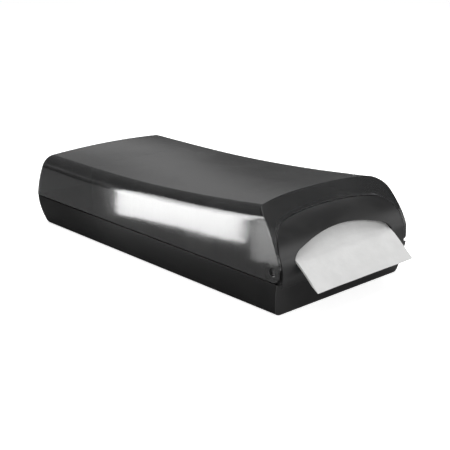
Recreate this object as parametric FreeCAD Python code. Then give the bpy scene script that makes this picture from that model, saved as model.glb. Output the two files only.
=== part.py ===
"""Counter-top napkin dispenser with a long tilting cover and a spring-driven pusher.

Millimetres. The origin is the centre of the footprint on the counter, the dispensing mouth faces -Y
and +Z is up. Every piece is one STEP file in parts/.
"""

import math
import os

import FreeCAD
import Part

V = FreeCAD.Vector

# Driving dimensions
LENGTH = 347.0
WIDTH = 160.0
SEAM_Z = 29.3
SEAM_GAP = 1.0
WALL = 2.6
FIT_GAP = 0.15

# Base
FOOT_DEPTH = 0.8
FOOT_R = 7.0
FOOT_X = 56.0
FOOT_FRONT = 32.0
FOOT_REAR = 314.0
FLOOR_HALF_WIDTH = 75.0
CHIN_SETBACK = 5.4
REAR_SETBACK = 8.0
FRONT_CORNER_R = 1.6
REAR_CORNER_R = 7.0
BOTTOM_EDGE_R = 3.0
RIM_Z = SEAM_Z - SEAM_GAP / 2
FLOOR_Z = WALL

# Cover: the crown height falls from the crest to the rear as a parabola, then runs level
REAR_HEIGHT = 73.0
CREST_HEIGHT = 86.0
CREST_SETBACK = 42.0
LEVEL_SETBACK = 265.0
COVER_WALL = 2.2
CROWN_R = 830.0
SHOULDER_R = 13.5
SIDE_R = 240.0
SIDE_LEAN = math.radians(0.5)
COVER_Z = SEAM_Z + SEAM_GAP / 2
REAR_LEAN = 13.0
REAR_TOP_R = 6.0
REAR_EDGE_Z = 62.0
TOP_CORNER_R = 32.0

# The cover's front: a sloping band between a crease on the outside and the rim of its opening.
# Each line is given from its lower right end to the centre line as x, setback, z.
CREASE = ((80.5, 0.2, 42.0), (80.5, 4.6, 55.0), (80.0, 11.4, 67.0), (77.6, 20.0, 77.4),
          (68.0, 33.6, 85.2), (45.0, 41.0, 86.6), (0.0, 42.8, 87.3))
RIM = ((74.6, 0.7, 42.0), (73.2, 4.0, 50.6), (71.4, 7.4, 56.0), (67.6, 11.7, 62.2),
       (61.6, 15.4, 67.0), (41.5, 21.8, 71.2), (0.0, 24.6, 72.7))
SIDE_FRONT = 0.8
LOWER_CORNER_R = 4.5
RIM_GAP = 0.5

# Cheek: the side's flat front end, turned in a little and bounded at the rear by a stepped arc
CHEEK_R = 53.9
CHEEK_SETBACK = -16.8
CHEEK_Z = 45.0
CHEEK_TURN = 1.2
CHEEK_AXIS_SETBACK = 42.0

# Hinge of the cover, near its lower front corners
PIVOT_SETBACK = 6.9
PIVOT_Z = 38.5
PIN_R = 2.0
HINGE_BUSH_R = 3.4
RUNNING_GAP = 0.05

# Fascia and mouth
FASCIA_HALF_WIDTH = 75.6
OPENING_HALF_WIDTH = 76.6
FASCIA_T = 2.6
FASCIA_RISE = -1.5
EAR_X = 75.3
EAR_T = 4.0
FASCIA_SCREW_X = 48.0
FASCIA_SCREW_SETBACK = 14.0
ARCH_SHOULDER = ((75.2, 51.0), (69.7, 63.4), (56.0, 71.2))
ARCH_CROWN = 74.1
MOUTH_LIP_Z = 41.8
MOUTH_HALF_WIDTH = 60.4
MOUTH_TOP_Z = 60.3

# Napkins: 240 mm square folded to 120 x 60 mm and stood on their long edges
NAPKIN_WIDTH = 120.0
NAPKIN_HEIGHT = 60.0
STACK_Z = 6.6
STACK_FRONT = 20.4
STACK_LENGTH = 254.0
TONGUE_HALF_WIDTH = 59.2

# Pusher, guide rods and spring
ROD_X = 67.0
ROD_Z = 12.0
ROD_R = 2.5
ROD_BUSH_R = 4.0
ROD_FRONT = 12.0
ROD_REAR = 330.0
PLATE_T = 3.0
CARRIAGE_LENGTH = 24.0
DRUM_R = 9.0
DRUM_WIDTH = 14.0
RIBBON_Z = 4.5
RIBBON_T = 0.3
RIBBON_WIDTH = 12.0
CLIP_TOP_Z = RIBBON_Z + 1.6
CLIP_SCREW_X = 8.4
CLIP_SCREW_SETBACK = 15.8
PLATE_SCREW_X = 30.0
AXLE_R = 2.0

# Cross recess of every screw, as shares of its head's radius and thickness
RECESS_REACH = 0.6
RECESS_HALF_WIDTH = 0.14
RECESS_FLOOR = 0.45

# Lock in the rear wall
LOCK_Z = 18.0
LOCK_R = 7.0
CAM_SETBACK = 328.0
CAM_T = 2.0
CAM_LENGTH = 16.0
CATCH_SCREW_Z = (41.0, 51.0)

PLATE_SETBACK = STACK_FRONT + STACK_LENGTH + 0.4
CARRIAGE_SETBACK = PLATE_SETBACK + PLATE_T
DRUM_SETBACK = CARRIAGE_SETBACK + CARRIAGE_LENGTH + DRUM_R + 1.5
DRUM_Z = RIBBON_Z + RIBBON_T + DRUM_R


def behind(setback):
    """Y of a place that lies `setback` behind the foremost line of the cover."""
    return setback - LENGTH / 2


def box(x0, x1, s0, s1, z0, z1):
    """Box between two X values, two setbacks and two heights."""
    return Part.makeBox(x1 - x0, s1 - s0, z1 - z0, V(x0, behind(s0), z0))


def rod_x(radius, x0, x1, setback, z):
    """Cylinder along X."""
    return Part.makeCylinder(radius, x1 - x0, V(x0, behind(setback), z), V(1, 0, 0))


def rod_y(radius, s0, s1, x, z):
    """Cylinder along Y."""
    return Part.makeCylinder(radius, s1 - s0, V(x, behind(s0), z), V(0, 1, 0))


def rod_z(radius, z0, z1, x, setback):
    """Cylinder along Z."""
    return Part.makeCylinder(radius, z1 - z0, V(x, behind(setback), z0), V(0, 0, 1))


def arc(a, b, c):
    """Edge of an arc through three points."""
    return Part.Arc(a, b, c).toShape()


def line(a, b):
    """Straight edge between two points."""
    return Part.LineSegment(a, b).toShape()


def fillet_where(shape, radius, test):
    """Round the edges whose centre passes the test."""
    return shape.makeFillet(radius, [e for e in shape.Edges if test(e.CenterOfMass, e)])


def plan(half_width, front, rear, z, front_r, rear_r):
    """Wire of a rectangle in plan with its own front and rear corner radii."""
    y0, y1, w, k = behind(front), behind(rear), half_width, 1 - math.sqrt(0.5)
    f, r = front_r, rear_r
    return Part.Wire([
        line(V(-w + f, y0, z), V(w - f, y0, z)),
        arc(V(w - f, y0, z), V(w - f * k, y0 + f * k, z), V(w, y0 + f, z)),
        line(V(w, y0 + f, z), V(w, y1 - r, z)),
        arc(V(w, y1 - r, z), V(w - r * k, y1 - r * k, z), V(w - r, y1, z)),
        line(V(w - r, y1, z), V(-w + r, y1, z)),
        arc(V(-w + r, y1, z), V(-w + r * k, y1 - r * k, z), V(-w, y1 - r, z)),
        line(V(-w, y1 - r, z), V(-w, y0 + f, z)),
        arc(V(-w, y0 + f, z), V(-w + f * k, y0 + f * k, z), V(-w + f, y0, z)),
    ])


def lower_section(inset, z, z_low, edge_r, front_inset):
    """Plan of the lower body at one height; the foot of it turns in with a round edge."""
    up = z / RIM_Z
    flare = math.sin(min(up, 1.0) * math.pi / 2)
    round_in = edge_r - math.sqrt(edge_r ** 2 - max(edge_r - (z - z_low), 0) ** 2)
    draw_in = inset + round_in
    half = FLOOR_HALF_WIDTH + (WIDTH / 2 - FLOOR_HALF_WIDTH) * flare - draw_in
    front = CHIN_SETBACK * (1 - up) + front_inset + round_in * 0.3
    rear = LENGTH - REAR_SETBACK * (1 - flare) - draw_in
    return plan(half, front, rear, z, FRONT_CORNER_R, REAR_CORNER_R - draw_in)


def lower_body(inset, z_low, z_high, edge_r=0.0, front_inset=0.0):
    """Solid that flares from the floor to the seam, drawn in by `inset` all round."""
    z_turn = z_low + edge_r
    body = Part.makeLoft([lower_section(inset, z, z_low, edge_r, front_inset)
                          for z in (z_turn, (z_turn + z_high) / 2, z_high)], True, False)
    if edge_r:
        turn = Part.makeLoft([lower_section(inset, z_low + edge_r * part, z_low, edge_r, front_inset)
                              for part in (0.0, 0.12, 0.4, 1.0)], True, True)
        body = body.fuse(turn).removeSplitter()
    return body


def extrude_side(edges, half_width):
    """Solid of a closed side view, drawn at x = 0, run out to both sides."""
    face = Part.Face(Part.Wire(edges))
    face.translate(V(-half_width, 0, 0))
    return face.extrude(V(2 * half_width, 0, 0))


def side(setback, z):
    """Point of a side view, drawn at x = 0."""
    return V(0, behind(setback), z)


def face_curve(dy=0.0, dz=0.0):
    """Side view of the fascia's outer face, from the chin up to the top of the arch."""
    points = [side(CHIN_SETBACK + dy, dz), side(0.3 + dy, 26 + dz), side(-0.4 + dy, 36 + dz),
              side(2.4 + dy, 47.4 + dz), side(9.6 + dy, 60.9 + dz), side(28.5 + dy, 75.2 + dz)]
    return [line(points[0], points[1]), arc(points[1], points[2], points[3]),
            arc(points[3], points[4], points[5])], points


def arch_wire(half_low, z_low, shoulder, crown_z, grow, setback):
    """Front view of an arch: two straight legs, a shoulder arc each side and a crown arc."""
    (x1, z1), (x2, z2), (x3, z3) = [(x + grow, z + grow) for x, z in shoulder]
    y, w = behind(setback), half_low + grow
    return Part.Wire([
        line(V(-w, y, z_low), V(w, y, z_low)),
        line(V(w, y, z_low), V(x1, y, z1 - grow)),
        arc(V(x1, y, z1 - grow), V(x2, y, z2), V(x3 - grow, y, z3)),
        arc(V(x3 - grow, y, z3), V(0, y, crown_z + grow), V(-x3 + grow, y, z3)),
        arc(V(-x3 + grow, y, z3), V(-x2, y, z2), V(-x1, y, z1 - grow)),
        line(V(-x1, y, z1 - grow), V(-w, y, z_low)),
    ])


def arch_block(half_low, grow, s0, s1):
    """The fascia's arch, run from front to rear; the cover's opening is the same arch, grown a little."""
    face = Part.Face(arch_wire(half_low, RIM_Z - 4, ARCH_SHOULDER, ARCH_CROWN, grow, s0))
    return face.extrude(V(0, s1 - s0, 0))


# Cover -------------------------------------------------------------------------------------------

def crown_height(setback):
    """Height of the cover's centre line."""
    rise = max(LEVEL_SETBACK - setback, 0) / (LEVEL_SETBACK - CREST_SETBACK)
    return REAR_HEIGHT + (CREST_HEIGHT - REAR_HEIGHT) * rise ** 2


def circles_meet(a, r_a, b, r_b):
    """The meeting point of two circles in the X-Z plane that lies further along +X."""
    gap = b - a
    share = (gap.Length ** 2 + r_a ** 2 - r_b ** 2) / (2 * gap.Length)
    off = math.sqrt(r_a ** 2 - share ** 2)
    unit = V(gap).normalize()
    foot = a + unit * share
    return max((foot + V(unit.z, 0, -unit.x) * s * off for s in (-1, 1)), key=lambda p: p.x)


def cover_section(setback, inset, z_low):
    """Closed section across the cover: gently bowed sides, round shoulders and a flat dome."""
    top, y = crown_height(setback), behind(setback)
    crown = V(0, 0, top - CROWN_R)
    bow = V(WIDTH / 2 - SIDE_R * math.cos(SIDE_LEAN), 0, COVER_Z - SIDE_R * math.sin(SIDE_LEAN))
    shoulder = circles_meet(bow, SIDE_R - SHOULDER_R, crown, CROWN_R - SHOULDER_R)

    def on(centre, radius, angle):
        return V(centre.x + (radius - inset) * math.cos(angle), y,
                 centre.z + (radius - inset) * math.sin(angle))

    low_angle = math.asin((z_low - bow.z) / (SIDE_R - inset))
    leg_angle = math.atan2(shoulder.z - bow.z, shoulder.x - bow.x)
    end_angle = math.atan2(shoulder.z - crown.z, shoulder.x - crown.x)
    low = on(bow, SIDE_R, low_angle)
    side_mid = on(bow, SIDE_R, (low_angle + leg_angle) / 2)
    leg = on(shoulder, SHOULDER_R, leg_angle)
    mid = on(shoulder, SHOULDER_R, (leg_angle + end_angle) / 2)
    end = on(shoulder, SHOULDER_R, end_angle)

    def left(p):
        return V(-p.x, p.y, p.z)

    return Part.Wire([
        line(left(low), low), arc(low, side_mid, leg), arc(leg, mid, end),
        arc(end, V(0, y, top - inset), left(end)),
        arc(left(end), left(mid), left(leg)), arc(left(leg), left(side_mid), left(low)),
    ])


def cover_body(inset, z_low, front):
    """Solid of the cover: sections run from front to rear, cut to the raked and rounded rear face."""
    setbacks = [front, 20, 60, 110, 165, 215, LEVEL_SETBACK, 310, LENGTH + 10]
    body = Part.makeLoft([cover_section(s, inset, z_low) for s in setbacks], True, False)
    rear = []
    for z in (z_low, 60.0, 100.0):
        up = max(z - COVER_Z, 0) / (REAR_HEIGHT - COVER_Z)
        corner_r = REAR_CORNER_R + 3 - inset + (TOP_CORNER_R - REAR_CORNER_R) * (up / 1.6) ** 2
        rear.append(plan(WIDTH / 2 + 3, front - 5, LENGTH - inset - REAR_LEAN * up ** 1.6, z,
                         FRONT_CORNER_R, corner_r))
    body = body.common(Part.makeLoft(rear, True, False))
    return fillet_where(body, REAR_TOP_R - inset,
                        lambda c, e: behind(330) < c.y < behind(340) and c.z > REAR_EDGE_Z)


def mirrored_curve(points):
    """Smooth curve through points given from the lower right corner to the centre line."""
    right = [V(x, behind(s), z) for x, s, z in points]
    left = [V(-p.x, p.y, p.z) for p in right[-2::-1]]
    curve = Part.BSplineCurve()
    curve.interpolate(right + left)
    return curve.toShape()


def bevel_cutter(dy=0.0, dz=0.0):
    """Everything in front of the sloping band between the cover's crease and its inner rim."""
    band = Part.makeRuledSurface(mirrored_curve(CREASE), mirrored_curve(RIM))
    band.translate(V(0, dy, dz))
    return band.extrude(V(0, -120, 0))


def front_trim():
    """Everything in front of the cover's side walls, with their round lower corners."""
    r, z, far = LOWER_CORNER_R, COVER_Z, side(-60, COVER_Z - 30)
    k = r * (1 - math.sqrt(0.5))
    foot = side(SIDE_FRONT + r, z - 30)
    edges = [
        line(side(SIDE_FRONT + r, z), foot), line(foot, far), line(far, side(-60, 110)),
        line(side(-60, 110), side(SIDE_FRONT, 110)), line(side(SIDE_FRONT, 110), side(SIDE_FRONT, z + r)),
        arc(side(SIDE_FRONT, z + r), side(SIDE_FRONT + k, z + k), side(SIDE_FRONT + r, z)),
    ]
    return extrude_side(edges, WIDTH)


def cheek_cutter(sign):
    """What lies outside the cheek: a disc along X, less the cover's body turned in about a side line."""
    low, high = sorted((sign * 60.0, sign * 100.0))
    disc = rod_x(CHEEK_R, low, high, CHEEK_SETBACK, CHEEK_Z)
    body = cover_body(0.0, COVER_Z - 10, -8.0)
    body.rotate(V(sign * WIDTH / 2, behind(CHEEK_AXIS_SETBACK), 0), V(0, 0, 1), sign * CHEEK_TURN)
    return disc.cut(body)


def cover_shell():
    """The smoked cover: a shell open below, with an arched opening for the fascia."""
    shell = cover_body(0.0, COVER_Z, -6.0)
    for sign in (-1, 1):
        shell = shell.cut(cheek_cutter(sign))
    shell = shell.cut(front_trim()).cut(bevel_cutter())
    cavity = cover_body(COVER_WALL, COVER_Z - 5, -10.0).cut(bevel_cutter(3.2, -1.6))
    shell = shell.cut(cavity).cut(arch_block(OPENING_HALF_WIDTH, RIM_GAP, -40.0, 36.0))
    for sign in (-1, 1):
        low, high = sorted((sign * (WIDTH / 2 - 6), sign * (WIDTH / 2 + 6)))
        shell = shell.cut(rod_x(HINGE_BUSH_R, low, high, PIVOT_SETBACK, PIVOT_Z))
    return largest(shell)


def largest(shape):
    return max(shape.Solids, key=lambda s: s.Volume)


def hinge_bush(sign):
    """Bush that fills the hinge hole in the cover's side."""
    low, high = sorted((sign * 76.9, sign * 78.7))
    outer = rod_x(HINGE_BUSH_R - 0.02, low, high, PIVOT_SETBACK, PIVOT_Z)
    return outer.cut(rod_x(PIN_R + RUNNING_GAP, low - 1, high + 1, PIVOT_SETBACK, PIVOT_Z))


def cover_catch():
    """Hook inside the cover's rear wall; its toe waits under the lock's cam."""
    plate = box(20, 36, CAM_SETBACK - 0.5, CAM_SETBACK + CAM_T + 0.5, 12, 58)
    toe = box(7, 22, CAM_SETBACK - 0.5, CAM_SETBACK + CAM_T + 0.5, 10.5, 14)
    hook = plate.fuse(toe)
    for z in CATCH_SCREW_Z:
        hook = hook.cut(rod_y(1.6, CAM_SETBACK - 5, CAM_SETBACK + 12, 28, z))
    return hook.removeSplitter()


def catch_post():
    """Block that carries the hook on the cover's rear wall."""
    block = box(22, 34, CAM_SETBACK + CAM_T + 0.6, 350, 36, 56)
    block = block.common(cover_body(COVER_WALL + 0.5, 30, -10.0))
    for z in CATCH_SCREW_Z:
        block = block.cut(rod_y(1.45, CAM_SETBACK - 5, CAM_SETBACK + 9, 28, z))
    return block


def screw(head_r, head_t, shank_r, shank_length, at, towards):
    """Screw with a cross recess; its head sits on the point `at` and looks along `towards`."""
    body = Part.makeCylinder(head_r, head_t).fuse(Part.makeCylinder(shank_r, shank_length, V(), V(0, 0, -1)))
    reach, half = head_r * RECESS_REACH, head_r * RECESS_HALF_WIDTH
    for x, y in ((reach, half), (half, reach)):
        body = body.cut(Part.makeBox(2 * x, 2 * y, head_t, V(-x, -y, head_t * RECESS_FLOOR)))
    body = body.removeSplitter()
    body.Placement = FreeCAD.Placement(at, FreeCAD.Rotation(V(0, 0, 1), towards))
    return body


def catch_screw(z):
    """Screw that holds the hook on its block."""
    return screw(2.8, 1.65, 1.4, 8.5, V(28, behind(CAM_SETBACK - 0.55), z), V(0, -1, 0))


# Base --------------------------------------------------------------------------------------------

def before_fascia(dy, dz):
    """Everything in front of the fascia's outer face, when that is moved by dy and dz."""
    curve, points = face_curve(dy, dz)
    low, high = points[0], points[-1]
    far = side(-60, low.z - 20)
    edges = curve + [line(high, V(0, far.y, high.z)), line(V(0, far.y, high.z), far),
                     line(far, V(0, low.y, far.z)), line(V(0, low.y, far.z), low)]
    return extrude_side(edges, WIDTH)


def lock_bore(radius):
    return rod_y(radius, CAM_SETBACK + CAM_T, LENGTH + 5, 0, LOCK_Z)


def base_tray():
    tray = lower_body(0.0, 0.0, RIM_Z, BOTTOM_EDGE_R)
    tray = tray.cut(lower_body(WALL, FLOOR_Z, RIM_Z + 6, front_inset=-8.0))
    tray = tray.cut(before_fascia(FASCIA_T + FIT_GAP, FASCIA_RISE))
    boss = rod_y(LOCK_R + 3, 334, 350, 0, LOCK_Z).common(lower_body(1.0, 0.0, RIM_Z))
    tray = tray.fuse(boss).cut(lock_bore(LOCK_R + 1.5))
    for sign in (-1, 1):
        for setback in (FOOT_FRONT, FOOT_REAR):
            tray = tray.cut(rod_z(FOOT_R + 0.05, 0, FOOT_DEPTH + 0.02, sign * FOOT_X, setback))
        tray = tray.cut(rod_z(1.7, 0, 6, sign * FASCIA_SCREW_X, FASCIA_SCREW_SETBACK))
        tray = tray.cut(rod_z(3.2, 0, 1.3, sign * FASCIA_SCREW_X, FASCIA_SCREW_SETBACK))
    return largest(tray.removeSplitter())


def mouth_block():
    """Arched opening, run through the fascia from front to rear."""
    shoulder = ((59.9, 45.2), (57.5, 48.2), (50.7, 51.9))
    wire = arch_wire(MOUTH_HALF_WIDTH, MOUTH_LIP_Z, shoulder, MOUTH_TOP_Z, 0.0, -40.0)
    return Part.Face(wire).extrude(V(0, 90, 0))


def front_fascia():
    curve, points = face_curve()
    back, back_points = face_curve(FASCIA_T, FASCIA_RISE)
    slab = extrude_side(curve + [line(points[-1], back_points[-1])] + back[::-1]
                        + [line(back_points[0], points[0])], WIDTH)
    slab = slab.common(Part.makeBox(400, 400, 200, V(-200, -200, 0)))
    fascia = slab.common(side_limits())
    for sign in (-1, 1):
        low, high = sorted((sign * (EAR_X - EAR_T), sign * EAR_X))
        ear = box(low, high, -5, 19, 24, 49).cut(before_fascia(FASCIA_T / 2, FASCIA_RISE / 2))
        ear = ear.common(rod_x(14.5, low, high, 9.5, 35.0))
        fascia = fascia.fuse(ear)
        x = sign * FASCIA_SCREW_X
        boss = box(x - 5, x + 5, 3, 19, FLOOR_Z + 0.1, 15).cut(before_fascia(FASCIA_T / 2, FASCIA_RISE / 2))
        fascia = fascia.fuse(boss)
    fascia = fascia.cut(mouth_block())
    for sign in (-1, 1):
        low, high = sorted((sign * (EAR_X - EAR_T + 1.0), sign * (FASCIA_HALF_WIDTH + 1)))
        fascia = fascia.cut(rod_x(PIN_R, low, high, PIVOT_SETBACK, PIVOT_Z))
        fascia = fascia.cut(rod_z(1.5, 0, 13, sign * FASCIA_SCREW_X, FASCIA_SCREW_SETBACK))
    return largest(fascia.removeSplitter())


def side_limits():
    """Block that keeps the chin within the base's flare and the arch within the cover's sides."""
    chin = lower_body(0.0, 0.0, RIM_Z, BOTTOM_EDGE_R)
    return chin.fuse(arch_block(FASCIA_HALF_WIDTH, 0.0, -40.0, 50.0))


def fascia_screw(sign):
    """Screw up through the base's floor into the fascia's boss."""
    at = V(sign * FASCIA_SCREW_X, behind(FASCIA_SCREW_SETBACK), 1.25)
    return screw(2.9, 1.15, 1.45, 11.2, at, V(0, 0, -1))


def hinge_pin(sign):
    """Pin from the fascia's ear out into the cover's bush."""
    low, high = sorted((sign * (EAR_X - EAR_T + 1.1), sign * 78.2))
    return rod_x(PIN_R - 0.02, low, high, PIVOT_SETBACK, PIVOT_Z)


def rubber_foot(sign, setback):
    return rod_z(FOOT_R, 0.0, FOOT_DEPTH, sign * FOOT_X, setback)


def guide_rod(sign):
    return rod_y(ROD_R, ROD_FRONT, ROD_REAR, sign * ROD_X, ROD_Z)


def rod_block(sign, s0, s1):
    x = sign * ROD_X
    block = box(x - 5.2, x + 5.2, s0, s1, FLOOR_Z, ROD_Z + 5)
    return block.cut(rod_y(ROD_R + 0.02, ROD_FRONT, ROD_REAR, x, ROD_Z))


def stack_runner(sign):
    return box(sign * 36 - 4, sign * 36 + 4, 21, 322, FLOOR_Z, STACK_Z - 0.15)


def spring_ribbon():
    return box(-RIBBON_WIDTH / 2, RIBBON_WIDTH / 2, 16, DRUM_SETBACK, RIBBON_Z, RIBBON_Z + RIBBON_T)


def ribbon_clip():
    """Folded clip on the floor that holds the front end of the ribbon."""
    post = box(-11, 11, 12.6, 19, FLOOR_Z, CLIP_TOP_Z)
    half = RIBBON_WIDTH / 2 + 0.1
    post = post.cut(box(-half, half, 15.8, 30, RIBBON_Z - 0.05, RIBBON_Z + RIBBON_T + 0.05))
    for sign in (-1, 1):
        post = post.cut(rod_z(1.5, 0, 20, sign * CLIP_SCREW_X, CLIP_SCREW_SETBACK))
    return post


def clip_screw(sign):
    """Screw that holds the ribbon's clip on the floor."""
    at = V(sign * CLIP_SCREW_X, behind(CLIP_SCREW_SETBACK), CLIP_TOP_Z + 0.05)
    return screw(2.4, 1.25, 1.4, CLIP_TOP_Z - FLOOR_Z, at, V(0, 0, 1))


def napkin_stack():
    stack = box(-NAPKIN_WIDTH / 2, NAPKIN_WIDTH / 2, STACK_FRONT, STACK_FRONT + STACK_LENGTH,
                STACK_Z, STACK_Z + NAPKIN_HEIGHT)
    return stack


def napkin_front():
    """The next napkin: from the stack's face it bends through the mouth and slopes down outside."""
    upper = [side(19.8, 64.6), side(16.0, 62.0), side(12.6, 57.5), side(9.2, 52.0), side(6.6, 47.8),
             side(3.0, 45.0), side(-0.2, 43.7), side(-23.4, 24.2)]
    lower = [side(-22.3, 22.8), side(0.4, 42.1), side(3.4, 43.1), side(8.2, 46.4), side(11.0, 51.0),
             side(14.4, 56.6), side(17.6, 60.6), side(19.8, 62.2)]
    points = upper + lower
    edges = [line(a, b) for a, b in zip(points, points[1:] + points[:1])]
    return extrude_side(edges, TONGUE_HALF_WIDTH)


def lock_housing():
    """Sleeve in the rear wall that the barrel turns in."""
    sleeve = lock_bore(LOCK_R + 1.45).common(box(-20, 20, CAM_SETBACK + CAM_T + 1.2, 348, 0, 28.6))
    sleeve = sleeve.cut(rod_y(LOCK_R - 1.5, 300, 360, 0, LOCK_Z))
    return sleeve.common(lower_body(-0.6, 0.0, RIM_Z))


# Pusher ------------------------------------------------------------------------------------------

def pusher_plate():
    plate = box(-57, 57, PLATE_SETBACK, PLATE_SETBACK + PLATE_T, 8, 63)
    plate = fillet_where(plate, 6.0, lambda c, e: abs(e.Length - PLATE_T) < 0.01)
    for sign in (-1, 1):
        plate = plate.cut(rod_y(1.5, 200, 320, sign * PLATE_SCREW_X, ROD_Z))
        plate = plate.cut(rod_y(3.0, 200, PLATE_SETBACK + PLATE_T - 1.7, sign * PLATE_SCREW_X, ROD_Z))
    return plate


def pusher_carriage():
    """Cross bar on both rods, with a web behind the plate and two ears for the drum."""
    s0 = CARRIAGE_SETBACK + 0.05
    s1 = s0 + CARRIAGE_LENGTH
    bar = box(-72.5, 72.5, s0, s1, STACK_Z + 0.3, 18.2)
    web = box(-20, 20, s0, s0 + 4, 18, 52)
    carriage = bar.fuse(web)
    for sign in (-1, 1):
        x = sign * (DRUM_WIDTH / 2 + 2.0)
        ear = box(x - 1.2, x + 1.2, s1 - 1, DRUM_SETBACK + 5, 7, 18.2)
        carriage = carriage.fuse(ear)
        carriage = carriage.cut(rod_y(ROD_BUSH_R, s0 - 1, s1 + 1, sign * ROD_X, ROD_Z))
        carriage = carriage.cut(rod_y(1.5, s0 - 1, s0 + 12, sign * PLATE_SCREW_X, ROD_Z))
        hollow = box(sign * 44 - 11, sign * 44 + 11, s0 + 13, s1 + 1, 5, 16)
        carriage = carriage.cut(hollow)
    carriage = carriage.cut(rod_x(AXLE_R + 0.02, -30, 30, DRUM_SETBACK, DRUM_Z))
    return carriage.removeSplitter()


def rod_bush(sign):
    """Bush that slides on a guide rod, pressed into the carriage."""
    s0 = CARRIAGE_SETBACK + 0.05
    bush = rod_y(ROD_BUSH_R - 0.02, s0, s0 + CARRIAGE_LENGTH, sign * ROD_X, ROD_Z)
    return bush.cut(rod_y(ROD_R + RUNNING_GAP, s0 - 1, s0 + CARRIAGE_LENGTH + 1, sign * ROD_X, ROD_Z))


def plate_screw(sign):
    """Screw through the plate into the carriage."""
    at = V(sign * PLATE_SCREW_X, behind(PLATE_SETBACK + PLATE_T - 1.72), ROD_Z)
    return screw(2.8, 1.18, 1.45, 11.7, at, V(0, -1, 0))


def drum_axle():
    half = DRUM_WIDTH / 2 + 4.4
    return rod_x(AXLE_R, -half, half, DRUM_SETBACK, DRUM_Z)


def spring_drum():
    """Coil of flat spring on its bobbin."""
    half = DRUM_WIDTH / 2
    coil = rod_x(DRUM_R - 0.25, -half, half, DRUM_SETBACK, DRUM_Z)
    return coil.cut(rod_x(AXLE_R + RUNNING_GAP, -half - 1, half + 1, DRUM_SETBACK, DRUM_Z))


def lock_barrel():
    barrel = rod_y(LOCK_R - 1.55, CAM_SETBACK + CAM_T + 0.4, LENGTH - 3.0, 0, LOCK_Z)
    return barrel.cut(box(-0.7, 0.7, LENGTH - 7, LENGTH, LOCK_Z - 3.2, LOCK_Z + 3.2))


def lock_cam():
    arm = box(-3, 3, CAM_SETBACK, CAM_SETBACK + CAM_T, LOCK_Z, LOCK_Z + CAM_LENGTH - 5)
    disc = rod_y(5.0, CAM_SETBACK, CAM_SETBACK + CAM_T, 0, LOCK_Z)
    return disc.fuse(arm).removeSplitter()


def all_parts():
    parts = {
        "cover_shell": cover_shell(),
        "cover_catch": cover_catch(),
        "catch_post": catch_post(),
        "catch_screw_upper": catch_screw(CATCH_SCREW_Z[1]),
        "catch_screw_lower": catch_screw(CATCH_SCREW_Z[0]),
        "base_tray": base_tray(),
        "front_fascia": front_fascia(),
        "spring_ribbon": spring_ribbon(),
        "ribbon_clip": ribbon_clip(),
        "napkin_stack": napkin_stack(),
        "napkin_front": napkin_front(),
        "lock_housing": lock_housing(),
        "pusher_plate": pusher_plate(),
        "pusher_carriage": pusher_carriage(),
        "drum_axle": drum_axle(),
        "spring_drum": spring_drum(),
        "lock_barrel": lock_barrel(),
        "lock_cam": lock_cam(),
    }
    for hand, sign in (("left", -1), ("right", 1)):
        parts[f"hinge_bush_{hand}"] = hinge_bush(sign)
        parts[f"hinge_pin_{hand}"] = hinge_pin(sign)
        parts[f"fascia_screw_{hand}"] = fascia_screw(sign)
        parts[f"guide_rod_{hand}"] = guide_rod(sign)
        parts[f"rod_block_front_{hand}"] = rod_block(sign, ROD_FRONT - 0.5, 20.0)
        parts[f"rod_block_rear_{hand}"] = rod_block(sign, 318.0, ROD_REAR - 1)
        parts[f"stack_runner_{hand}"] = stack_runner(sign)
        parts[f"clip_screw_{hand}"] = clip_screw(sign)
        parts[f"rod_bush_{hand}"] = rod_bush(sign)
        parts[f"plate_screw_{hand}"] = plate_screw(sign)
        parts[f"foot_front_{hand}"] = rubber_foot(sign, FOOT_FRONT)
        parts[f"foot_rear_{hand}"] = rubber_foot(sign, FOOT_REAR)
    return parts


os.makedirs("parts", exist_ok=True)
for name, shape in all_parts().items():
    shape.exportStep(f"parts/{name}.step")
    box_ = shape.BoundBox
    print(f"{name}: valid={shape.isValid()} solids={len(shape.Solids)} volume={shape.Volume:.0f}",
          f"z {box_.ZMin:.1f}..{box_.ZMax:.1f}")
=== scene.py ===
"""Looks for a low counter-top napkin dispenser: smoked cover, black case, tissue napkins.

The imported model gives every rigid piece. This file dresses those pieces, models the napkins and the
spring ribbon, and sets up the floor, the lights and the camera. Metres throughout.
"""

import logging
import math
import random
from dataclasses import dataclass
from enum import Enum
from typing import Callable, Iterable, Sequence

import bpy
from mathutils import Matrix, Vector


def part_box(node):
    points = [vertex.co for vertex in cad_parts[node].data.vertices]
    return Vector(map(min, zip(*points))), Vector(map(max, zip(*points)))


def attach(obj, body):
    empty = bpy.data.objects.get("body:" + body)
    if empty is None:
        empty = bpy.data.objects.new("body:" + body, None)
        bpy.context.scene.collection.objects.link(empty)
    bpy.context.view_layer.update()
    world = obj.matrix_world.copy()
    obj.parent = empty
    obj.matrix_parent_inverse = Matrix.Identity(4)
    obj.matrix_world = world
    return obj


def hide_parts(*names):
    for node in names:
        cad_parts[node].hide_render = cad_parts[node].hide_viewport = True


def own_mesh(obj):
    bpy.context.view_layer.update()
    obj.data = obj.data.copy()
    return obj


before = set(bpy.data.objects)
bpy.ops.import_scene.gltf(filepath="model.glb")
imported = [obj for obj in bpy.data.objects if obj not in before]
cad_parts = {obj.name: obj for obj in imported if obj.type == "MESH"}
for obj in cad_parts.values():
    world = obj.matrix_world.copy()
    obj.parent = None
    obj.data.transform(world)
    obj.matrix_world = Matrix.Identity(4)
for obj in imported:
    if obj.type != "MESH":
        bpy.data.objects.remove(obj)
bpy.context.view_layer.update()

log = logging.getLogger("napkin_dispenser")

Colour = tuple[float, float, float]
Point = tuple[float, float, float]
Route = Sequence[tuple[float, float]]

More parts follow.
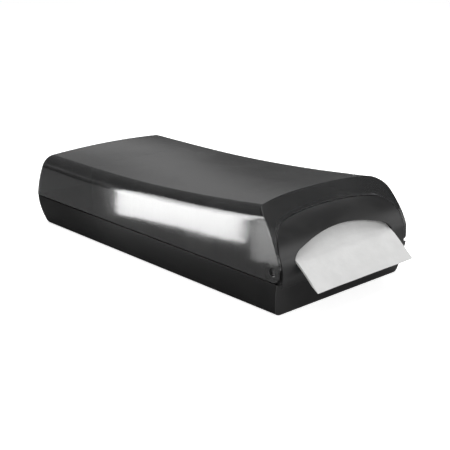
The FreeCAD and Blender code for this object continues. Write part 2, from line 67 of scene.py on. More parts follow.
BASE_BODY = "base"
ROD_END_SETBACK = 0.012
CASE_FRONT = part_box("guide_rod_left")[0][1] - ROD_END_SETBACK


class Hand(Enum):
    """The side that a paired piece is on, as its name says."""

    LEFT = "left"
    RIGHT = "right"


# Node helpers ------------------------------------------------------------------------------------

class Tree:
    """A thin wrapper round a shader node tree, to place and join nodes in few words."""

    spacing = 220
    mix_first, mix_second, mix_result = 6, 7, 2

    def __init__(self, tree: bpy.types.NodeTree) -> None:
        """Starts an empty tree.

        Args:
            tree: the material's or group's node tree.
        """
        self.tree = tree
        self.tree.nodes.clear()

    def add(self, kind: str, **settings: object) -> bpy.types.Node:
        """Adds a node.

        Args:
            kind: the node's type name, such as ShaderNodeTexNoise.
            settings: properties of the node, or socket values given as in_NAME with _ for spaces.

        Returns:
            The new node.
        """
        node = self.tree.nodes.new(kind)
        node.location = (self.spacing * len(self.tree.nodes), 0)
        for key, value in settings.items():
            if key.startswith("in_"):
                node.inputs[key[3:].replace("_", " ")].default_value = value
            else:
                setattr(node, key, value)
        return node

    def join(self, source: bpy.types.NodeSocket, target: bpy.types.NodeSocket) -> None:
        """Links one socket to another.

        Args:
            source: an output socket.
            target: an input socket.
        """
        self.tree.links.new(source, target)

    def maths(self, operation: str, *values: object) -> bpy.types.NodeSocket:
        """Adds a Math node.

        Args:
            operation: the operation, such as MULTIPLY.
            values: numbers or output sockets, in order.

        Returns:
            The result's socket.
        """
        node = self.add("ShaderNodeMath", operation=operation)
        for slot, value in zip(node.inputs, values):
            if isinstance(value, bpy.types.NodeSocket):
                self.join(value, slot)
            else:
                slot.default_value = value
        return node.outputs[0]

    def ramp(self, source: bpy.types.NodeSocket, low: float, high: float,
             low_value: float = 0.0, high_value: float = 1.0) -> bpy.types.NodeSocket:
        """Maps a value smoothly from one range to another.

        Args:
            source: the value's socket.
            low: where the mapping starts.
            high: where it ends.
            low_value: the result at low and below.
            high_value: the result at high and above.

        Returns:
            The result's socket.
        """
        node = self.add("ShaderNodeMapRange", interpolation_type="SMOOTHSTEP")
        node.inputs["From Min"].default_value = low
        node.inputs["From Max"].default_value = high
        node.inputs["To Min"].default_value = low_value
        node.inputs["To Max"].default_value = high_value
        self.join(source, node.inputs["Value"])
        return node.outputs["Result"]

    def blend(self, factor: bpy.types.NodeSocket, first: Colour,
              second: Colour | bpy.types.NodeSocket) -> bpy.types.NodeSocket:
        """Mixes two colours by a factor.

        Args:
            factor: the factor's socket.
            first: the colour at 0.
            second: the colour at 1, plain or a socket.

        Returns:
            The colour's socket.
        """
        node = self.add("ShaderNodeMix", data_type="RGBA")
        node.inputs[self.mix_first].default_value = (*first, 1.0)
        if isinstance(second, bpy.types.NodeSocket):
            self.join(second, node.inputs[self.mix_second])
        else:
            node.inputs[self.mix_second].default_value = (*second, 1.0)
        self.join(factor, node.inputs[0])
        return node.outputs[self.mix_result]


def group_with(name: str, inputs: dict[str, float], outputs: dict[str, str]) -> bpy.types.NodeTree:
    """Makes an empty shader node group with named sockets.

    Args:
        name: the group's name.
        inputs: each number input's name and default.
        outputs: each output's name and socket type.

    Returns:
        The group's node tree.
    """
    tree = bpy.data.node_groups.new(name, "ShaderNodeTree")
    for label, default in inputs.items():
        socket = tree.interface.new_socket(name=label, in_out="INPUT", socket_type="NodeSocketFloat")
        socket.default_value = default
    for label, kind in outputs.items():
        tree.interface.new_socket(name=label, in_out="OUTPUT", socket_type=kind)
    return tree


class Effects:
    """The shader groups that several finishes share."""

    edge_radius = 0.0007
    edge_samples = 6
    wave_height = 0.0006
    grain_height = 0.00005
    clean_below, worn_above = 0.42, 0.72

    def __init__(self) -> None:
        """Builds each group once."""
        self.skin = self._moulded_skin()
        self.handling = self._handling()

    def _moulded_skin(self) -> bpy.types.NodeTree:
        """Builds the fine grain, slow waviness and softened edges of a moulded surface.

        Returns:
            A group that turns Grain, Grain Depth, Wave and Wave Depth into a Normal.
        """
        tree = group_with("moulded_skin",
                          {"Grain": 2500.0, "Grain Depth": 0.1, "Wave": 14.0, "Wave Depth": 0.1},
                          {"Normal": "NodeSocketVector"})
        t = Tree(tree)
        source, sink = t.add("NodeGroupInput"), t.add("NodeGroupOutput")
        place = t.add("ShaderNodeTexCoord")
        slow = t.add("ShaderNodeTexNoise", in_Detail=1.0)
        fine = t.add("ShaderNodeTexNoise", in_Detail=2.0, in_Roughness=0.6)
        waves = t.add("ShaderNodeBump", in_Distance=self.wave_height)
        grain = t.add("ShaderNodeBump", in_Distance=self.grain_height)
        for noise, label in ((slow, "Wave"), (fine, "Grain")):
            t.join(place.outputs["Object"], noise.inputs["Vector"])
            t.join(source.outputs[label], noise.inputs["Scale"])
        t.join(source.outputs["Wave Depth"], waves.inputs["Strength"])
        t.join(source.outputs["Grain Depth"], grain.inputs["Strength"])
        t.join(slow.outputs["Fac"], waves.inputs["Height"])
        t.join(fine.outputs["Fac"], grain.inputs["Height"])
        soft_edge = t.add("ShaderNodeBevel", in_Radius=self.edge_radius, samples=self.edge_samples)
        t.join(soft_edge.outputs["Normal"], waves.inputs["Normal"])
        t.join(waves.outputs["Normal"], grain.inputs["Normal"])
        t.join(grain.outputs["Normal"], sink.inputs["Normal"])
        return tree

    def _handling(self) -> bpy.types.NodeTree:
        """Builds the faint smears and dust that handling leaves.

        Returns:
            A group that turns Size and Amount into a Mask from 0 to Amount.
        """
        tree = group_with("handling", {"Size": 18.0, "Amount": 1.0}, {"Mask": "NodeSocketFloat"})
        t = Tree(tree)
        source, sink = t.add("NodeGroupInput"), t.add("NodeGroupOutput")
        place = t.add("ShaderNodeTexCoord")
        smear = t.add("ShaderNodeTexNoise", in_Detail=4.0, in_Roughness=0.55, in_Distortion=0.6)
        t.join(place.outputs["Object"], smear.inputs["Vector"])
        t.join(source.outputs["Size"], smear.inputs["Scale"])
        mask = t.ramp(smear.outputs["Fac"], self.clean_below, self.worn_above)
        t.join(t.maths("MULTIPLY", mask, source.outputs["Amount"]), sink.inputs["Mask"])
        return tree

    def place_skin(self, t: Tree, grain: float, grain_depth: float, wave: float,
                   wave_depth: float) -> bpy.types.NodeSocket:
        """Places the skin group in a material.

        Args:
            t: the material's tree.
            grain: the grain's scale.
            grain_depth: the grain's strength.
            wave: the waviness's scale.
            wave_depth: the waviness's strength.

        Returns:
            The Normal output.
        """
        node = t.add("ShaderNodeGroup", node_tree=self.skin)
        for label, value in (("Grain", grain), ("Grain Depth", grain_depth),
                             ("Wave", wave), ("Wave Depth", wave_depth)):
            node.inputs[label].default_value = value
        return node.outputs["Normal"]

    def place_handling(self, t: Tree, size: float, amount: float) -> bpy.types.NodeSocket:
        """Places the handling group in a material.

        Args:
            t: the material's tree.
            size: the smears' scale.
            amount: how strong they are.

        Returns:
            The Mask output.
        """
        node = t.add("ShaderNodeGroup", node_tree=self.handling)
        node.inputs["Size"].default_value = size
        node.inputs["Amount"].default_value = amount
        return node.outputs["Mask"]


def new_material(name: str, base: Colour) -> tuple[bpy.types.Material, Tree, bpy.types.Node]:
    """Makes a material with a Principled shader joined to its output.

    Args:
        name: the material's name.
        base: its plain colour.

    Returns:
        The material, its tree and the shader node.
    """
    material = bpy.data.materials.new(name)
    material.use_nodes = True
    material.diffuse_color = (*base, 1.0)
    t = Tree(material.node_tree)
    shader, sink = t.add("ShaderNodeBsdfPrincipled"), t.add("ShaderNodeOutputMaterial")
    shader.inputs["Base Color"].default_value = (*base, 1.0)
    t.join(shader.outputs["BSDF"], sink.inputs["Surface"])
    return material, t, shader


# Finishes ----------------------------------------------------------------------------------------

@dataclass(frozen=True)
class MouldedPlastic:
    """A moulded plastic with grain, slow waviness and smears that change its gloss."""

    name: str
    base: Colour
    dusty: Colour
    roughness: float
    smear: float
    grain: float = 2600.0
    grain_depth: float = 0.1
    wave: float = 14.0
    wave_depth: float = 0.05
    see_through: float = 0.0
    ior: float = 1.49
    specular: float = 0.5
    smear_scale: float = 16.0

    def material(self, effects: Effects) -> bpy.types.Material:
        """Builds the finish.

        Args:
            effects: the shared groups.

        Returns:
            The material.
        """
        material, t, shader = new_material(self.name, self.base)
        mask = effects.place_handling(t, self.smear_scale, 1.0)
        t.join(t.blend(mask, self.base, self.dusty), shader.inputs["Base Color"])
        t.join(t.ramp(mask, 0.0, 1.0, self.roughness, self.roughness + self.smear),
               shader.inputs["Roughness"])
        t.join(effects.place_skin(t, self.grain, self.grain_depth, self.wave, self.wave_depth),
               shader.inputs["Normal"])
        shader.inputs["IOR"].default_value = self.ior
        shader.inputs["Specular IOR Level"].default_value = self.specular
        shader.inputs["Transmission Weight"].default_value = self.see_through
        return material


@dataclass(frozen=True)
class PlatedSteel:
    """Drawn or rolled steel with fine lines along one axis."""

    name: str
    base: Colour
    dull: Colour
    roughness: float
    stretch: Point
    lines: float = 900.0
    line_depth: float = 0.25
    line_height: float = 0.00004
    line_gloss: float = 0.14
    smear_scale: float = 30.0

    def material(self, effects: Effects) -> bpy.types.Material:
        """Builds the finish.

        Args:
            effects: the shared groups.

        Returns:
            The material.
        """
        material, t, shader = new_material(self.name, self.base)
        place = t.add("ShaderNodeTexCoord")
        squeeze = t.add("ShaderNodeMapping")
        squeeze.inputs["Scale"].default_value = self.stretch
        lines = t.add("ShaderNodeTexNoise", in_Scale=self.lines, in_Detail=3.0)
        bump = t.add("ShaderNodeBump", in_Strength=self.line_depth, in_Distance=self.line_height)
        t.join(place.outputs["Object"], squeeze.inputs["Vector"])
        t.join(squeeze.outputs["Vector"], lines.inputs["Vector"])
        t.join(lines.outputs["Fac"], bump.inputs["Height"])
        t.join(bump.outputs["Normal"], shader.inputs["Normal"])
        mask = effects.place_handling(t, self.smear_scale, 1.0)
        t.join(t.blend(mask, self.base, self.dull), shader.inputs["Base Color"])
        t.join(t.ramp(lines.outputs["Fac"], 0.3, 0.7, self.roughness, self.roughness + self.line_gloss),
               shader.inputs["Roughness"])
        shader.inputs["Metallic"].default_value = 1.0
        return material


@dataclass(frozen=True)
class SoftRubber:
    """Dull rubber with a dusty bloom."""

    name: str
    base: Colour
    bloom: Colour
    bloom_scale: float = 120.0
    bloom_amount: float = 0.8
    clean_roughness: float = 0.7
    dusty_roughness: float = 0.92

    def material(self, effects: Effects) -> bpy.types.Material:
        """Builds the finish.

        Args:
            effects: the shared groups.

        Returns:
            The material.
        """
        material, t, shader = new_material(self.name, self.base)
        mask = effects.place_handling(t, self.bloom_scale, self.bloom_amount)
        t.join(t.blend(mask, self.base, self.bloom), shader.inputs["Base Color"])
        t.join(t.ramp(mask, 0.0, 1.0, self.clean_roughness, self.dusty_roughness), shader.inputs["Roughness"])
        t.join(effects.place_skin(t, grain=1500.0, grain_depth=0.4, wave=60.0, wave_depth=0.1),
               shader.inputs["Normal"])
        return material


@dataclass(frozen=True)
class Tissue:
    """Soft white tissue: cloudy fibre, fine crepe and, on a stack, the lines between plies."""

    name: str
    base: Colour
    shade: Colour
    cloud: float = 55.0
    crepe: float = 900.0
    pucker: float = 420.0
    cloud_range: tuple[float, float] = (0.35, 0.7)
    fibre_share: float = 0.5
    pucker_share: float = 0.9
    bump_depth: float = 0.35
    bump_height: float = 0.00022
    ply_pitch: float = 0.0
    ply_depth: float = 0.8
    roughness: float = 0.93
    specular: float = 0.2
    sheen: float = 0.12

    def material(self, effects: Effects) -> bpy.types.Material:
        """Builds the finish.

        Args:
            effects: the shared groups.

        Returns:
            The material.
        """
        material, t, shader = new_material(self.name, self.base)
        place = t.add("ShaderNodeTexCoord")
        cloud = t.add("ShaderNodeTexNoise", in_Scale=self.cloud, in_Detail=5.0, in_Roughness=0.6)
        fibre = t.add("ShaderNodeTexNoise", in_Scale=self.crepe, in_Detail=4.0, in_Roughness=0.65)
        pucker = t.add("ShaderNodeTexVoronoi", in_Scale=self.pucker, distance="EUCLIDEAN")
        for texture in (cloud, fibre, pucker):
            t.join(place.outputs["Object"], texture.inputs["Vector"])
        factor = t.ramp(cloud.outputs["Fac"], *self.cloud_range)
        t.join(t.blend(factor, self.shade, self.base), shader.inputs["Base Color"])
        height = t.maths("ADD", t.maths("MULTIPLY", fibre.outputs["Fac"], self.fibre_share),
                         t.maths("MULTIPLY", pucker.outputs["Distance"], self.pucker_share))
        if self.ply_pitch:
            split = t.add("ShaderNodeSeparateXYZ")
            t.join(place.outputs["Object"], split.inputs["Vector"])
            along = t.maths("MULTIPLY", split.outputs["Y"], 2 * math.pi / self.ply_pitch)
            height = t.maths("ADD", height, t.maths("MULTIPLY", t.maths("SINE", along), self.ply_depth))
        bump = t.add("ShaderNodeBump", in_Strength=self.bump_depth, in_Distance=self.bump_height)
        t.join(height, bump.inputs["Height"])
        t.join(bump.outputs["Normal"], shader.inputs["Normal"])
        shader.inputs["Roughness"].default_value = self.roughness
        shader.inputs["Specular IOR Level"].default_value = self.specular
        shader.inputs["Sheen Weight"].default_value = self.sheen
        return material


SMOKE = MouldedPlastic("smoked_cover", (0.13, 0.131, 0.133), (0.16, 0.161, 0.163), 0.12, 0.04,
                       grain=2200.0, grain_depth=0.02, wave=9.0, wave_depth=0.02, see_through=0.88)
CASE = MouldedPlastic("case_black", (0.007, 0.007, 0.0073), (0.011, 0.011, 0.011), 0.42, 0.1,
                      grain_depth=0.22, specular=0.13)
FASCIA = MouldedPlastic("fascia_black", (0.016, 0.016, 0.0165), (0.024, 0.024, 0.024), 0.32, 0.09,
                        grain_depth=0.18)
INNER = MouldedPlastic("inner_black", (0.02, 0.02, 0.021), (0.03, 0.03, 0.03), 0.48, 0.12, grain_depth=0.25)
ACETAL = MouldedPlastic("acetal_bush", (0.62, 0.61, 0.57), (0.55, 0.54, 0.5), 0.34, 0.08)
ROD_STEEL = PlatedSteel("rod_steel", (0.6, 0.6, 0.61), (0.5, 0.5, 0.5), 0.2, (1.0, 0.04, 1.0))
CROSS_STEEL = PlatedSteel("cross_steel", (0.57, 0.57, 0.58), (0.47, 0.47, 0.47), 0.24, (0.04, 1.0, 1.0))
ZINC = PlatedSteel("zinc_plate", (0.55, 0.56, 0.58), (0.44, 0.45, 0.47), 0.3, (1.0, 1.0, 1.0))
STRIP = PlatedSteel("spring_strip", (0.4, 0.42, 0.46), (0.3, 0.31, 0.34), 0.22, (1.0, 0.03, 1.0))
RUBBER = SoftRubber("foot_rubber", (0.02, 0.02, 0.02), (0.05, 0.05, 0.048))
TISSUE = Tissue("napkin_tissue", (0.76, 0.76, 0.755), (0.7, 0.7, 0.695))
TISSUE_STACK = Tissue("napkin_stack_tissue", (0.83, 0.83, 0.82), (0.76, 0.76, 0.755), ply_pitch=0.0009)


# Modelling helpers -------------------------------------------------------------------------------

def deselect_all() -> None:
    """Leaves object mode with nothing selected."""
    if bpy.context.object and bpy.context.object.mode != "OBJECT":
        bpy.ops.object.mode_set(mode="OBJECT")
    bpy.ops.object.select_all(action="DESELECT")


def only(piece: bpy.types.Object) -> bpy.types.Object:
    """Selects one piece and makes it active.

    Args:
        piece: the object.

    Returns:
        The same object.
    """
    deselect_all()
    piece.select_set(True)
    bpy.context.view_layer.objects.active = piece
    return piece


def settle(piece: bpy.types.Object) -> bpy.types.Object:
    """Moves a piece's place, turn and size into its mesh.

    Args:
        piece: the object.

    Returns:
        The same object.
    """
    only(piece)
    bpy.ops.object.transform_apply(location=True, rotation=True, scale=True)
    return piece


def select_by(piece: bpy.types.Object, edges: Callable[[bpy.types.Mesh, bpy.types.MeshEdge], bool]) -> None:
    """Selects a mesh's edges by a test, ready for an edit mode operator.

    Args:
        piece: the object, in object mode.
        edges: says whether an edge is wanted.
    """
    mesh = piece.data
    for item in (*mesh.vertices, *mesh.polygons):
        item.select = False
    for edge in mesh.edges:
        edge.select = edges(mesh, edge)
        if edge.select:
            for index in edge.vertices:
                mesh.vertices[index].select = True


def apply_modifier(piece: bpy.types.Object, kind: str, **settings: object) -> None:
    """Adds a modifier with its settings and applies it.

    Args:
        piece: the object.
        kind: the modifier's type name.
        settings: its properties.
    """
    only(piece)
    modifier = piece.modifiers.new(kind.lower(), kind)
    for key, value in settings.items():
        setattr(modifier, key, value)
    bpy.ops.object.modifier_apply(modifier=modifier.name)


def dress(piece: bpy.types.Object, material: bpy.types.Material) -> None:
    """Gives every face of a piece one material.

    Args:
        piece: the object.
        material: its finish.
    """
    if not piece.data.materials:
        piece.data.materials.append(material)
    for index in range(len(piece.data.materials)):
        piece.data.materials[index] = material


def dress_nodes(names: Iterable[str], material: bpy.types.Material) -> None:
    """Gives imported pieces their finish.

    Args:
        names: the pieces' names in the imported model.
        material: their finish.
    """
    for name in names:
        dress(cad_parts[name], material)
        log.info("%s: %s", name, material.name)


def both_hands(*stems: str) -> list[str]:
    """Names the left and right piece of each stem.

    Args:
        stems: names without their hand.

    Returns:
        The full names.
    """
    return [f"{stem}_{hand.value}" for stem in stems for hand in Hand]


# Sub-assemblies ----------------------------------------------------------------------------------

@dataclass
class Case:
    """The base tray, its fascia, feet and lock."""

    metal: tuple[str, ...] = ("lock_housing", "lock_barrel", "lock_cam", "ribbon_clip")
    screws: tuple[str, ...] = ("fascia_screw", "clip_screw")
    feet: tuple[str, ...] = ("foot_front", "foot_rear")

    def build(self, effects: Effects) -> None:
        """Dresses the case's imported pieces.

        Args:
            effects: the shared groups.
        """
        dress_nodes(["base_tray"], CASE.material(effects))
        dress_nodes(["front_fascia"], FASCIA.material(effects))
        dress_nodes([*self.metal, *both_hands(*self.screws)], ZINC.material(effects))
        # Painted shade: the hinge pins take the black inner plastic so that their ends show dark, standing in
        # for the shade of the dimple at each pivot.
        dress_nodes(both_hands("hinge_pin"), INNER.material(effects))
        dress_nodes(both_hands(*self.feet), RUBBER.material(effects))


@dataclass
class Cover:
    """The smoked cover with its hinge bushes and catch."""

    clear: tuple[str, ...] = ("cover_shell", "catch_post")
    metal: tuple[str, ...] = ("cover_catch", "catch_screw_upper", "catch_screw_lower")

    def build(self, effects: Effects) -> None:
        """Dresses the cover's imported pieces.

        Args:
            effects: the shared groups.
        """
        dress_nodes([*self.clear, *both_hands("hinge_bush")], SMOKE.material(effects))
        dress_nodes(self.metal, ZINC.material(effects))


@dataclass
class Mechanism:
    """The pusher, its rods and the ribbon spring."""

    ribbon_thickness: float = 0.0003
    metal_share: float = 0.6
    bow: float = 0.0004
    across: int = 6
    along: int = 40
    smooth_below: float = math.radians(40)

    def build(self, effects: Effects) -> None:
        """Dresses the mechanism and models its ribbon.

        Args:
            effects: the shared groups.
        """
        inner = INNER.material(effects)
        dress_nodes(["pusher_plate", "pusher_carriage"]
                    + both_hands("rod_block_front", "rod_block_rear", "stack_runner"), inner)
        dress_nodes(both_hands("guide_rod"), ROD_STEEL.material(effects))
        dress_nodes(["drum_axle"], CROSS_STEEL.material(effects))
        dress_nodes(both_hands("plate_screw"), ZINC.material(effects))
        dress_nodes(both_hands("rod_bush"), ACETAL.material(effects))
        strip = STRIP.material(effects)
        dress_nodes(["spring_drum"], strip)
        self.ribbon(strip)

    def ribbon(self, strip: bpy.types.Material) -> bpy.types.Object:
        """Models the spring ribbon, slightly dished across its width as such strip is.

        Args:
            strip: its finish.

        Returns:
            The ribbon.
        """
        low, high = (Vector(corner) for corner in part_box("spring_ribbon"))
        middle, size = (low + high) / 2, high - low
        deselect_all()
        bpy.ops.mesh.primitive_grid_add(x_subdivisions=self.across, y_subdivisions=self.along, size=1.0,
                                        location=(middle.x, middle.y, low.z + self.ribbon_thickness / 2))
        ribbon = bpy.context.object
        ribbon.name = "ribbon"
        ribbon.scale = (size.x, size.y, 1.0)
        settle(ribbon)
        for vertex in ribbon.data.vertices:
            across = (vertex.co.x - middle.x) / (size.x / 2)
            vertex.co.z += self.bow * across ** 2
        apply_modifier(ribbon, "SOLIDIFY", thickness=self.ribbon_thickness * self.metal_share, offset=0.0)
        only(ribbon)
        bpy.ops.object.shade_smooth_by_angle(angle=self.smooth_below)
        dress(ribbon, strip)
        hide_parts("spring_ribbon")
        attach(ribbon, BASE_BODY)
        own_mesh(ribbon)
        log.info("ribbon: %d faces", len(ribbon.data.polygons))
        return ribbon


@dataclass
class NapkinPile:
    """The standing pile of folded napkins behind the mouth."""

    pitch: float = 0.00195
    leaf: float = 0.0017
    fold_radius: float = 0.0006
    lean: float = 0.0006
    clearance: float = 0.001
    level: float = 1e-6
    smooth_below: float = math.radians(50)
    seed: int = 7

    def build(self, effects: Effects) -> bpy.types.Object:
        """Models one folded napkin, repeats it along the pile and joins the pile.

        Args:
            effects: the shared groups.

        Returns:
            The pile.
        """
        low, high = (Vector(corner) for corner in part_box("napkin_stack"))
        first = self.folded_napkin(low, high)
        rng = random.Random(self.seed)
        count = int((high.y - low.y) / self.pitch)
        copies = [first]
        for index in range(1, count):
            napkin = first.copy()
            napkin.data = first.data.copy()
            bpy.context.collection.objects.link(napkin)
            shift = Vector((rng.uniform(-self.lean, self.lean), index * self.pitch,
                            rng.uniform(-self.lean, 0.0)))
            napkin.data.transform(Matrix.Translation(shift))
            copies.append(napkin)
        deselect_all()
        for napkin in copies:
            napkin.select_set(True)
        bpy.context.view_layer.objects.active = first
        bpy.ops.object.join()
        pile = only(first)
        pile.name = "napkin_pile"
        bpy.ops.object.shade_smooth_by_angle(angle=self.smooth_below)
        dress(pile, TISSUE_STACK.material(effects))
        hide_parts("napkin_stack")
        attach(pile, BASE_BODY)
        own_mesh(pile)
        log.info("napkin_pile: %d napkins, %d faces", count, len(pile.data.polygons))
        return pile

    def folded_napkin(self, low: Vector, high: Vector) -> bpy.types.Object:
        """Models the first napkin, a thin folded pad with rounded folds.

        Args:
            low: the pile's lowest corner.
            high: the pile's highest corner.

        Returns:
            The napkin.
        """
        deselect_all()
        middle = (low + high) / 2
        bpy.ops.mesh.primitive_cube_add(size=1.0, location=(middle.x, low.y + self.pitch / 2, middle.z))
        napkin = bpy.context.object
        napkin.scale = (high.x - low.x - self.clearance, self.leaf, high.z - low.z - self.clearance)
        settle(napkin)
        select_by(napkin, lambda mesh, edge: abs(mesh.vertices[edge.vertices[0]].co.y
                                                 - mesh.vertices[edge.vertices[1]].co.y) < self.level)
        bpy.ops.object.mode_set(mode="EDIT")
        bpy.ops.mesh.select_mode(type="EDGE")
        bpy.ops.mesh.bevel(offset=self.fold_radius, segments=2, profile=0.5)
        bpy.ops.object.mode_set(mode="OBJECT")
        return napkin


@dataclass
class NextNapkin:
    """The napkin that hangs out of the mouth, folded so that its crease is the free edge."""

    layers_gap: float = 0.0011
    crease_opening: float = 8.0
    paper: float = 0.00045
    across: int = 48
    along: int = 26
    ripple: float = 0.0007
    wave_turns: tuple[float, float, float] = (3.1, 7.3, 11.0)
    wave_shares: tuple[float, float, float] = (0.5, 0.3, 0.15)
    wave_skew: float = 2.2
    bend_reach: float = 0.004
    seed: int = 3
    smooth_below: float = math.radians(60)
    pile_gap: float = 0.0004
    pile_height: float = 0.0638
    edge_setback: float = 0.0006
    edge_rise: float = 0.0013
    bends: Route = ((0.0160, 0.0612), (0.0127, 0.0568), (0.0094, 0.0515), (0.0068, 0.0473),
                    (0.0030, 0.0446), (-0.0002, 0.0433), (-0.011, 0.0346))

    def build(self, effects: Effects) -> bpy.types.Object:
        """Models the napkin as a folded sheet that follows its bent route through the mouth.

        Args:
            effects: the shared groups.

        Returns:
            The napkin.
        """
        low, high = (Vector(corner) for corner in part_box("napkin_front"))
        route = self.route(low, high)
        width, total = high.x - low.x, self.route_length(route)
        deselect_all()
        bpy.ops.mesh.primitive_grid_add(x_subdivisions=self.across, y_subdivisions=2 * self.along,
                                        size=1.0, location=(0, 0, 0))
        napkin = bpy.context.object
        napkin.name = "next_napkin"
        rng = random.Random(self.seed)
        phases = [rng.uniform(0, 2 * math.pi) for _ in range(3)]
        for vertex in napkin.data.vertices:
            across, run = vertex.co.x * 2, vertex.co.y + 0.5
            under = run > 0.5
            along = 2 * (1 - run) if under else 2 * run
            y, z, normal_y, normal_z = self.route_point(route, along * total)
            sink = self.layers_gap * min(1.0, (1 - along) * self.crease_opening) if under else 0.0
            lift = self.wave(across, along, phases) - sink
            vertex.co = (across * width / 2, y + normal_y * lift, z + normal_z * lift)
        apply_modifier(napkin, "SOLIDIFY", thickness=self.paper, offset=0.0)
        only(napkin)
        bpy.ops.object.shade_smooth_by_angle(angle=self.smooth_below)
        dress(napkin, TISSUE.material(effects))
        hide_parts("napkin_front")
        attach(napkin, BASE_BODY)
        log.info("next_napkin: %d faces", len(napkin.data.polygons))
        return napkin

    def route(self, low: Vector, high: Vector) -> Route:
        """Lists the side view points from the pile, over the mouth's lip, to the free edge.

        The bends are given by how far they are behind the case's front, and by their height.

        Args:
            low: the napkin's lowest corner.
            high: its highest corner.

        Returns:
            The points, as y and z.
        """
        return [(high.y - self.pile_gap, self.pile_height),
                *((CASE_FRONT + setback, height) for setback, height in self.bends),
                (low.y + self.edge_setback, low.z + self.edge_rise)]

    def wave(self, across: float, along: float, phases: Sequence[float]) -> float:
        """Gives the paper's ripple, which grows towards the free edge.

        Args:
            across: from -1 to 1 over the width.
            along: from 0 at the pile to 1 at the free edge.
            phases: where each of its three waves starts.

        Returns:
            The height of the ripple, in metres.
        """
        angles = (self.wave_turns[0] * across + phases[0],
                  self.wave_turns[1] * across + self.wave_skew * along + phases[1],
                  self.wave_turns[2] * across * along + phases[2])
        return self.ripple * along * sum(math.sin(angle) * share
                                         for angle, share in zip(angles, self.wave_shares))

    @staticmethod
    def route_length(route: Route) -> float:
        """Adds up a route's runs.

        Args:
            route: its points in side view.

        Returns:
            Its length.
        """
        return sum(math.dist(a, b) for a, b in zip(route, route[1:]))

    def route_point(self, route: Route, travel: float) -> tuple[float, float, float, float]:
        """Finds a place on a smoothed route and its upward normal.

        Args:
            route: its points in side view.
            travel: how far along it, in metres.

        Returns:
            The place and the normal, as y, z, normal y, normal z.
        """
        def at(distance: float) -> tuple[float, float]:
            """Finds the place at a distance along the straight runs."""
            left = max(distance, 0.0)
            for a, b in zip(route, route[1:]):
                run = math.dist(a, b)
                if left <= run or b == route[-1]:
                    share = left / run
                    return a[0] + (b[0] - a[0]) * share, a[1] + (b[1] - a[1]) * share
                left -= run
            return route[-1]

        total, reach = self.route_length(route), self.bend_reach
        spread = [min(max(travel + reach * offset, 0.0), total) for offset in (-1, -0.5, 0, 0.5, 1)]
        spots = [at(distance) for distance in spread]
        if travel < reach or travel > total - reach:
            y, z = at(min(travel, total))
        else:
            y = sum(spot[0] for spot in spots) / len(spots)
            z = sum(spot[1] for spot in spots) / len(spots)
        dy, dz = spots[-1][0] - spots[0][0], spots[-1][1] - spots[0][1]
        size = math.hypot(dy, dz) or 1.0
        return y, z, dz / size, -dy / size


# Studio ------------------------------------------------------------------------------------------

@dataclass(frozen=True)
class SoftLight:
    """A soft rectangular light that is itself out of sight."""

    name: str
    place: Point
    target: Point
    size: tuple[float, float]
    power: float
    spread: float = math.pi
    in_gloss: bool = True
    gloss_only: bool = False

    def hang(self) -> bpy.types.Object:
        """Adds the light to the scene.

        Returns:
            The light.
        """
        light = bpy.data.lights.new(self.name, "AREA")
        light.shape = "RECTANGLE"
        light.size, light.size_y = self.size
        light.energy = self.power
        light.spread = self.spread
        lamp = bpy.data.objects.new(self.name, light)
        bpy.context.collection.objects.link(lamp)
        lamp.location = self.place
        aim = Vector(self.target) - Vector(self.place)
        lamp.rotation_euler = aim.to_track_quat("-Z", "Y").to_euler()
        lamp.visible_camera = False
        lamp.visible_glossy = self.in_gloss
        lamp.visible_diffuse = not self.gloss_only
        lamp.visible_transmission = not self.gloss_only
        return lamp


RIGHT_FILL = {"place": (0.8, -1.3, 0.42), "target": (0.0, -0.1, 0.03), "size": (1.2, 0.6)}
LIGHTS = (
    SoftLight("overhead", (0.1, 0.2, 1.4), (0.0, 0.0, 0.0), (1.6, 1.6), 19.0),
    SoftLight("fill_right", **RIGHT_FILL, power=3.5),
    SoftLight("fill_right_soft", **RIGHT_FILL, power=4.5, in_gloss=False),
    SoftLight("card_right", (0.35, 0.02, 0.034), (0.0, 0.02, 0.034), (0.2, 0.06), 0.09, gloss_only=True),
    SoftLight("fill_left", (-1.0, -1.0, 0.55), (0.0, -0.15, 0.03), (0.7, 0.5), 4.5),
)


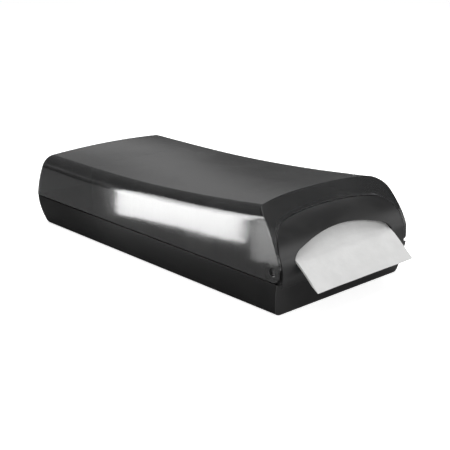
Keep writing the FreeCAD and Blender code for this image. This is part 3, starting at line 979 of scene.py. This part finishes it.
@dataclass
class Studio:
    """Pale floor, soft lights and the camera.

    The room is low_room times room at the horizon and glow times room in a low band above it.
    """

    camera_place: Point = (-0.59845, -0.67861, 0.31358)
    camera_turn: float = 42.47
    camera_dip: float = 18.0
    focal_length: float = 80.0
    sensor: float = 36.0
    room: float = 0.25
    low_room: float = 0.5
    glow: float = 2.1
    glow_drop: float = 1.4
    glow_rises: tuple[float, float] = (0.12, 0.24)
    glow_falls: tuple[float, float] = (0.25, 0.4)
    strip_distance: float = 0.215
    strip_height: float = 0.171
    strip_gap: float = 0.004
    strip_aim: Point = (0.72, -0.694, 0.0)
    strip_spread: float = math.radians(70.0)
    floor_size: float = 10.0
    floor_lift: float = 0.75
    floor_cloud: float = 3.0
    floor_lit: Colour = (0.5, 0.5, 0.5)
    floor_seen: tuple[Colour, Colour] = ((0.9, 0.9, 0.9), (0.92, 0.92, 0.92))

    def build(self) -> None:
        """Sets up the floor, the surroundings, the lights and the camera."""
        self.floor()
        self.surroundings()
        for light in LIGHTS:
            light.hang()
        self.side_strip("strip_rear", middle=0.098, width=0.14, power=0.2)
        self.side_strip("strip_front", middle=-0.074, width=0.088, power=0.03)
        self.camera()

    def side_strip(self, name: str, middle: float, width: float, power: float) -> None:
        """Hangs a narrow strip beside the case that makes the long highlight on the cover's side.

        Args:
            name: the light's name.
            middle: where its middle is along the case.
            width: its width.
            power: its power in watts.
        """
        place = Vector((-self.strip_distance, middle, self.strip_height / 2 + self.strip_gap))
        SoftLight(name, tuple(place), tuple(place + Vector(self.strip_aim)), (width, self.strip_height),
                  power, spread=self.strip_spread, gloss_only=True).hang()

    def floor(self) -> None:
        """Lays a large pale floor, lifted to white where it is looked at, as a lit sweep is."""
        deselect_all()
        bpy.ops.mesh.primitive_grid_add(x_subdivisions=8, y_subdivisions=8, size=self.floor_size,
                                        location=(0, 0, 0))
        floor = bpy.context.object
        floor.name = "floor"
        material, t, shader = new_material("floor_white", self.floor_lit)
        noise = t.add("ShaderNodeTexNoise", in_Scale=self.floor_cloud)
        place = t.add("ShaderNodeTexCoord")
        looked_at = t.add("ShaderNodeLightPath").outputs["Is Camera Ray"]
        t.join(place.outputs["Object"], noise.inputs["Vector"])
        seen = t.blend(noise.outputs["Fac"], *self.floor_seen)
        t.join(t.blend(looked_at, self.floor_lit, seen), shader.inputs["Base Color"])
        t.join(t.maths("MULTIPLY", looked_at, self.floor_lift), shader.inputs["Emission Strength"])
        shader.inputs["Emission Color"].default_value = (1.0, 1.0, 1.0, 1.0)
        shader.inputs["Roughness"].default_value = 0.8
        shader.inputs["Specular IOR Level"].default_value = 0.0
        dress(floor, material)

    def surroundings(self) -> None:
        """Makes a grey room with a lighter band above the horizon, white where it is looked at."""
        world = bpy.data.worlds.new("room")
        bpy.context.scene.world = world
        world.use_nodes = True
        t = Tree(world.node_tree)
        background, sink = t.add("ShaderNodeBackground"), t.add("ShaderNodeOutputWorld")
        looked_at = t.add("ShaderNodeLightPath").outputs["Is Camera Ray"]
        split = t.add("ShaderNodeSeparateXYZ")
        t.join(t.add("ShaderNodeTexCoord").outputs["Generated"], split.inputs["Vector"])
        rise = t.ramp(split.outputs["Z"], *self.glow_rises, self.room * self.low_room, self.room * self.glow)
        fall = t.ramp(split.outputs["Z"], *self.glow_falls, 0.0, self.room * self.glow_drop)
        seen = t.maths("SUBTRACT", rise, fall)
        t.join(t.maths("ADD", seen, looked_at), background.inputs["Strength"])
        t.join(background.outputs["Background"], sink.inputs["Surface"])
        background.inputs["Color"].default_value = (1.0, 1.0, 1.0, 1.0)
        bpy.context.scene.view_settings.view_transform = "Standard"

    def camera(self) -> None:
        """Sets the camera that the scene is seen through."""
        data = bpy.data.cameras.new("camera")
        data.lens = self.focal_length
        data.sensor_width = self.sensor
        camera = bpy.data.objects.new("camera", data)
        bpy.context.collection.objects.link(camera)
        camera.location = self.camera_place
        camera.rotation_euler = (math.radians(90.0 - self.camera_dip), 0.0, -math.radians(self.camera_turn))
        bpy.context.scene.camera = camera


def main() -> None:
    """Builds the whole scene in order."""
    logging.basicConfig(level=logging.INFO, format="%(name)s: %(message)s")
    Studio().build()
    effects = Effects()
    Case().build(effects)
    Cover().build(effects)
    Mechanism().build(effects)
    NapkinPile().build(effects)
    NextNapkin().build(effects)


if __name__ == "__main__":
    main()
